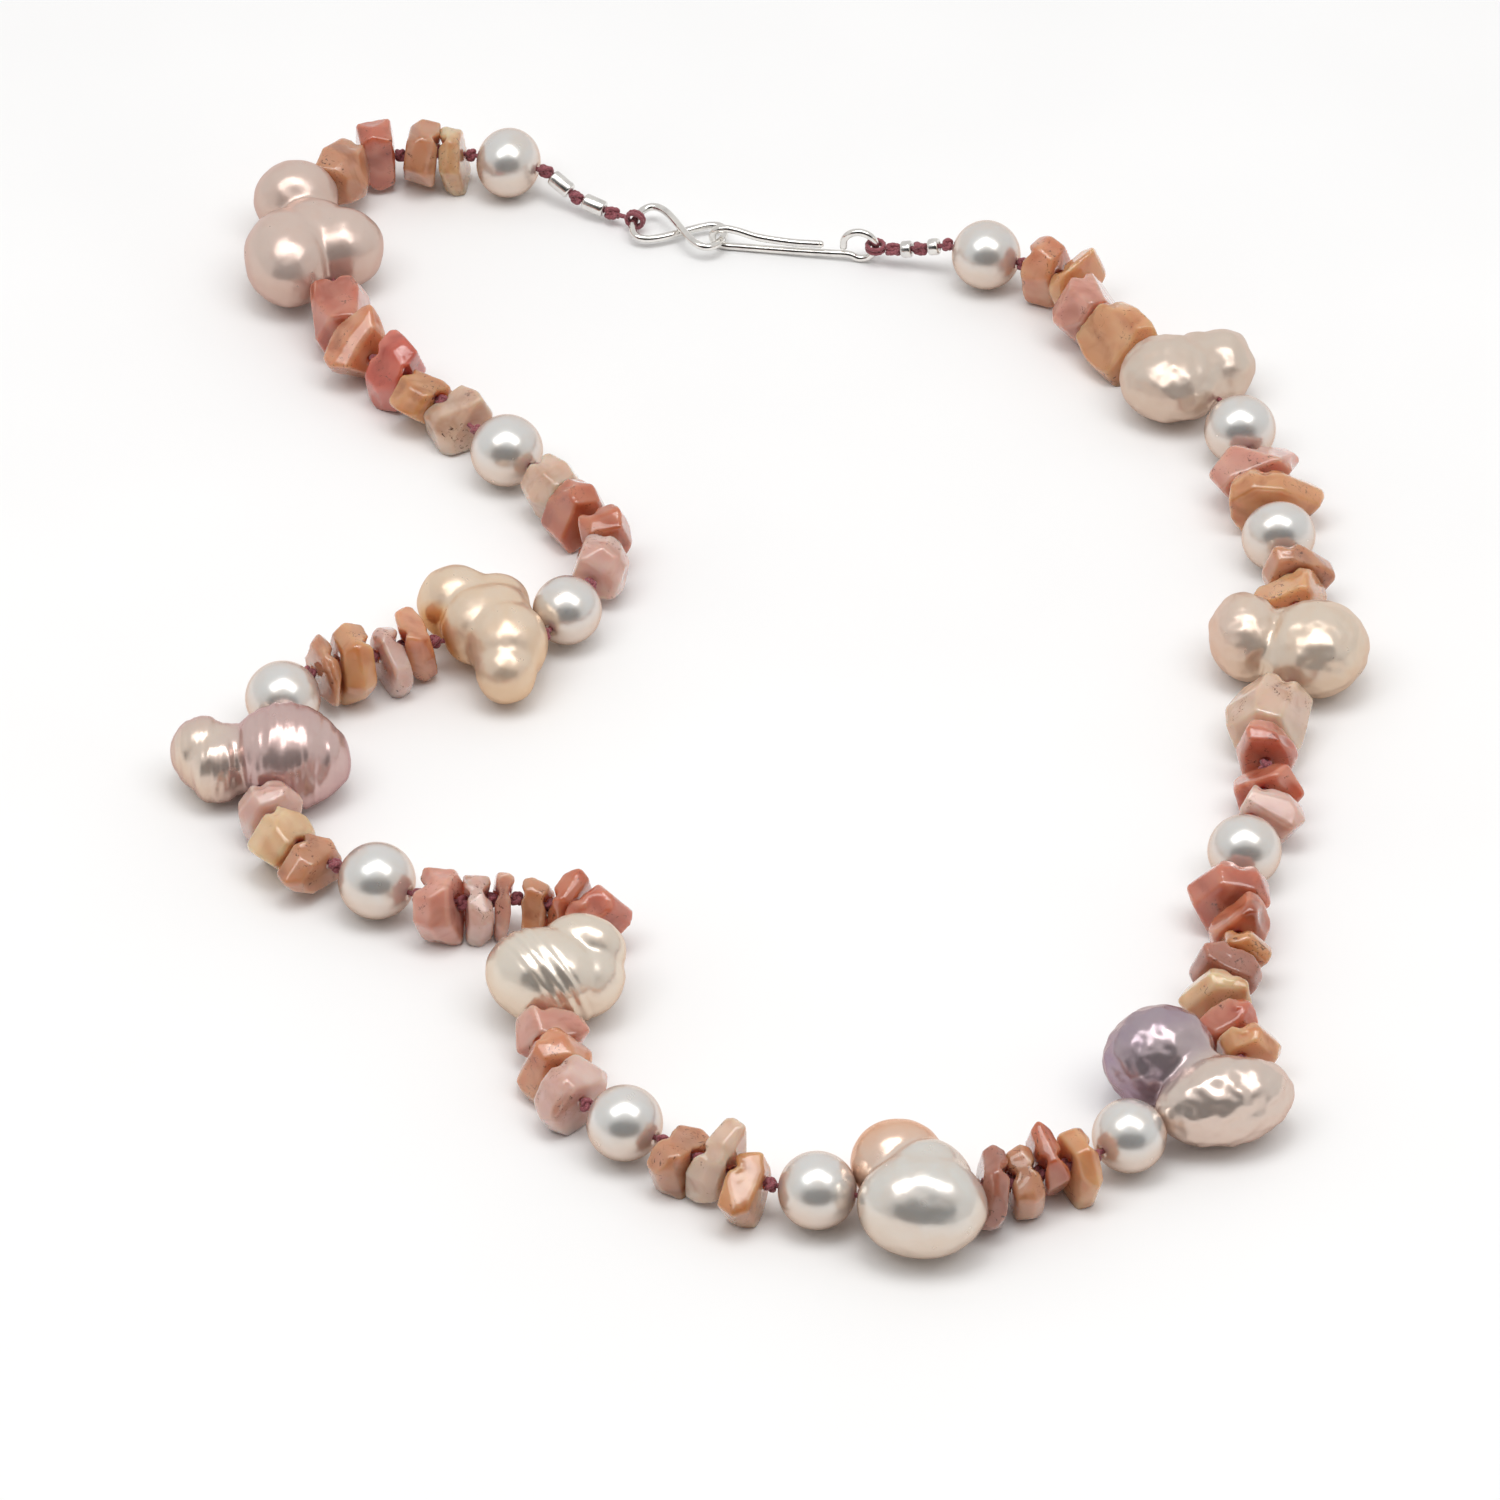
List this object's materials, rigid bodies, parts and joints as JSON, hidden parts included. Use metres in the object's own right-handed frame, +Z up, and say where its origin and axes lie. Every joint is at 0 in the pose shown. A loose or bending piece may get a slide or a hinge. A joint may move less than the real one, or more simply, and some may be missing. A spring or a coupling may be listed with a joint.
{
  "type": "pearl necklace",
  "caption": "Necklace of round pearls, baroque pearls and tumbled opal chips knotted on silk, with a long hook and a figure-eight link, lying open in a wavy loop.",
  "frame": {"origin": "centre of the bounding box, on the table that the necklace lies on", "axes": "+Z up from the table through the neck opening; +Y towards the clasp; +X to the right when the clasp is at the far side"},
  "size_m": [0.1254, 0.1742, 0.0106],
  "materials": {
    "nacre_bean": "nacre, wet lustre with soft overtones",
    "nacre_lavender_pair": "nacre, wet lustre with soft overtones",
    "nacre_mauve_pair": "nacre, wet lustre with soft overtones",
    "nacre_peach_pair": "nacre, wet lustre with soft overtones",
    "nacre_silver_pair": "nacre, wet lustre with soft overtones",
    "nacre_spiral": "nacre, wet lustre with soft overtones",
    "nacre_three_bump": "nacre, wet lustre with soft overtones",
    "nacre_trefoil": "nacre, wet lustre with soft overtones",
    "opal_blush": "tumbled and polished, banded",
    "opal_coral": "tumbled and polished, banded",
    "opal_cream": "tumbled and polished, banded",
    "opal_mauve": "tumbled and polished, banded",
    "opal_pale": "tumbled and polished, banded",
    "opal_peach": "tumbled and polished, banded",
    "opal_pink": "tumbled and polished, banded",
    "opal_salmon": "tumbled and polished, banded",
    "opal_tan": "tumbled and polished, banded",
    "silk": "plied silk thread",
    "silver": "polished sterling silver",
    "white_pearl": "nacre, bright satin lustre"
  },
  "bodies": {
    "strand_01": {"silver_bead_01": "silver", "silver_bead_02": "silver", "silk_01": "silk"},
    "strand_02": {"opal_chips_01": "opal_cream", "opal_chips_02": "opal_salmon", "baroque_trefoil": "nacre_trefoil", "opal_chips_03": "opal_salmon", "opal_chips_04": "opal_coral", "silk_02": "silk"},
    "strand_03": {"opal_chips_05": "opal_blush", "opal_chips_06": "opal_coral", "silk_03": "silk"},
    "strand_04": {"baroque_three_bump": "nacre_three_bump", "opal_chips_07": "opal_salmon", "opal_chips_08": "opal_tan", "silk_04": "silk"},
    "strand_05": {"baroque_mauve_pair": "nacre_mauve_pair", "opal_chips_09": "opal_pale", "silk_05": "silk"},
    "strand_06": {"opal_chips_10": "opal_pink", "opal_chips_11": "opal_tan", "baroque_spiral": "nacre_spiral", "opal_chips_12": "opal_pink", "silk_06": "silk"},
    "strand_07": {"opal_chips_13": "opal_tan", "baroque_peach_pair": "nacre_peach_pair", "opal_chips_14": "opal_mauve", "silk_07": "silk"},
    "strand_08": {"baroque_lavender_pair": "nacre_lavender_pair", "opal_chips_15": "opal_peach", "opal_chips_16": "opal_cream", "opal_chips_17": "opal_tan", "silk_08": "silk"},
    "strand_09": {"opal_chips_18": "opal_pale", "opal_chips_19": "opal_coral", "baroque_silver_pair": "nacre_silver_pair", "opal_chips_20": "opal_peach", "silk_09": "silk"},
    "strand_10": {"opal_chips_21": "opal_peach", "baroque_bean": "nacre_bean", "opal_chips_22": "opal_salmon", "opal_chips_23": "opal_coral", "silk_10": "silk"},
    "strand_11": {"silver_bead_03": "silver", "silver_bead_04": "silver", "silk_11": "silk"},
    "pearl_01_bead": {"pearl_01": "white_pearl"},
    "pearl_02_bead": {"pearl_02": "white_pearl"},
    "pearl_03_bead": {"pearl_03": "white_pearl"},
    "pearl_04_bead": {"pearl_04": "white_pearl"},
    "pearl_05_bead": {"pearl_05": "white_pearl"},
    "pearl_06_bead": {"pearl_06": "white_pearl"},
    "pearl_07_bead": {"pearl_07": "white_pearl"},
    "pearl_08_bead": {"pearl_08": "white_pearl"},
    "pearl_09_bead": {"pearl_09": "white_pearl"},
    "pearl_10_bead": {"pearl_10": "white_pearl"},
    "pearl_11_bead": {"pearl_11": "white_pearl"},
    "pearl_12_bead": {"pearl_12": "white_pearl"},
    "link": {"figure_eight_link": "silver"},
    "hook": {"clasp_hook": "silver"}
  },
  "joints": [
    {"name": "flex_01", "type": "hinge", "parent": "strand_02", "child": "strand_01", "pos_m": [-0.0337, 0.08401, 0.004], "axis": [0, 0, 1], "range_deg": [0, 60]},
    {"name": "flex_02", "type": "hinge", "parent": "strand_03", "child": "strand_02", "pos_m": [-0.0317, 0.03501, 0.004], "axis": [0, 0, 1], "range_deg": [0, 36]},
    {"name": "flex_03", "type": "hinge", "parent": "strand_04", "child": "strand_03", "pos_m": [-0.0192, 0.00951, 0.004], "axis": [0, 0, 1], "range_deg": [0, 30]},
    {"name": "flex_04", "type": "hinge", "parent": "strand_05", "child": "strand_04", "pos_m": [-0.0482, -0.00449, 0.004], "axis": [0, 0, 1], "range_deg": [0, 36]},
    {"name": "flex_05", "type": "hinge", "parent": "strand_06", "child": "strand_05", "pos_m": [-0.0442, -0.03399, 0.004], "axis": [0, 0, 1], "range_deg": [0, 36]},
    {"name": "flex_06", "type": "hinge", "parent": "strand_07", "child": "strand_06", "pos_m": [-0.0182, -0.06849, 0.004], "axis": [0, 0, 1], "range_deg": [0, 36]},
    {"name": "flex_07", "type": "hinge", "parent": "strand_07", "child": "strand_08", "pos_m": [0.0313, -0.07549, 0.004], "axis": [0, 0, 1], "range_deg": [-36, 0]},
    {"name": "flex_08", "type": "hinge", "parent": "strand_08", "child": "strand_09", "pos_m": [0.0473, -0.03599, 0.004], "axis": [0, 0, 1], "range_deg": [-36, 0]},
    {"name": "flex_09", "type": "hinge", "parent": "strand_09", "child": "strand_10", "pos_m": [0.0548, 0.01351, 0.004], "axis": [0, 0, 1], "range_deg": [-36, 0]},
    {"name": "flex_10", "type": "hinge", "parent": "strand_10", "child": "strand_11", "pos_m": [0.0283, 0.06401, 0.004], "axis": [0, 0, 1], "range_deg": [-50, 0]},
    {"name": "pearl_01_turn", "type": "hinge", "parent": "strand_01", "child": "pearl_01_bead", "pos_m": [-0.02945, 0.08251, 0.004], "axis": [-0.943, 0.3328, 0], "continuous": true},
    {"name": "pearl_02_turn", "type": "hinge", "parent": "strand_03", "child": "pearl_02_bead", "pos_m": [-0.02845, 0.03176, 0.004], "axis": [0.7071, -0.7071, 0], "continuous": true},
    {"name": "pearl_03_turn", "type": "hinge", "parent": "strand_04", "child": "pearl_03_bead", "pos_m": [-0.02145, 0.00551, 0.004], "axis": [-0.4903, -0.8716, 0], "continuous": true},
    {"name": "pearl_04_turn", "type": "hinge", "parent": "strand_05", "child": "pearl_04_bead", "pos_m": [-0.0507, -0.00849, 0.004], "axis": [-0.53, -0.848, 0], "continuous": true},
    {"name": "pearl_05_turn", "type": "hinge", "parent": "strand_06", "child": "pearl_05_bead", "pos_m": [-0.03995, -0.03624, 0.004], "axis": [0.8838, -0.4679, 0], "continuous": true},
    {"name": "pearl_06_turn", "type": "hinge", "parent": "strand_07", "child": "pearl_06_bead", "pos_m": [-0.01445, -0.07099, 0.004], "axis": [0.8321, -0.5547, 0], "continuous": true},
    {"name": "pearl_07_turn", "type": "hinge", "parent": "strand_07", "child": "pearl_07_bead", "pos_m": [0.0043, -0.08024, 0.004], "axis": [0.9864, -0.1644, 0], "continuous": true},
    {"name": "pearl_08_turn", "type": "hinge", "parent": "strand_08", "child": "pearl_08_bead", "pos_m": [0.0348, -0.07274, 0.004], "axis": [0.7863, 0.6178, 0], "continuous": true},
    {"name": "pearl_09_turn", "type": "hinge", "parent": "strand_09", "child": "pearl_09_bead", "pos_m": [0.04805, -0.03174, 0.004], "axis": [0.1738, 0.9848, 0], "continuous": true},
    {"name": "pearl_10_turn", "type": "hinge", "parent": "strand_10", "child": "pearl_10_bead", "pos_m": [0.05405, 0.01751, 0.004], "axis": [-0.1843, 0.9829, 0], "continuous": true},
    {"name": "pearl_11_turn", "type": "hinge", "parent": "strand_10", "child": "pearl_11_bead", "pos_m": [0.0508, 0.03526, 0.004], "axis": [-0.229, 0.9734, 0], "continuous": true},
    {"name": "pearl_12_turn", "type": "hinge", "parent": "strand_11", "child": "pearl_12_bead", "pos_m": [0.02405, 0.06576, 0.004], "axis": [-0.9247, 0.3807, 0], "continuous": true},
    {"name": "link_swivel", "type": "hinge", "parent": "strand_01", "child": "link", "pos_m": [-0.0151, 0.07514, 0.00164], "axis": [0, 0, 1], "range_deg": [-6, 6]},
    {"name": "hook_swivel", "type": "hinge", "parent": "strand_11", "child": "hook", "pos_m": [0.01185, 0.06943, 0.00226], "axis": [0, 0, 1], "range_deg": [-3, 3]}
  ]
}
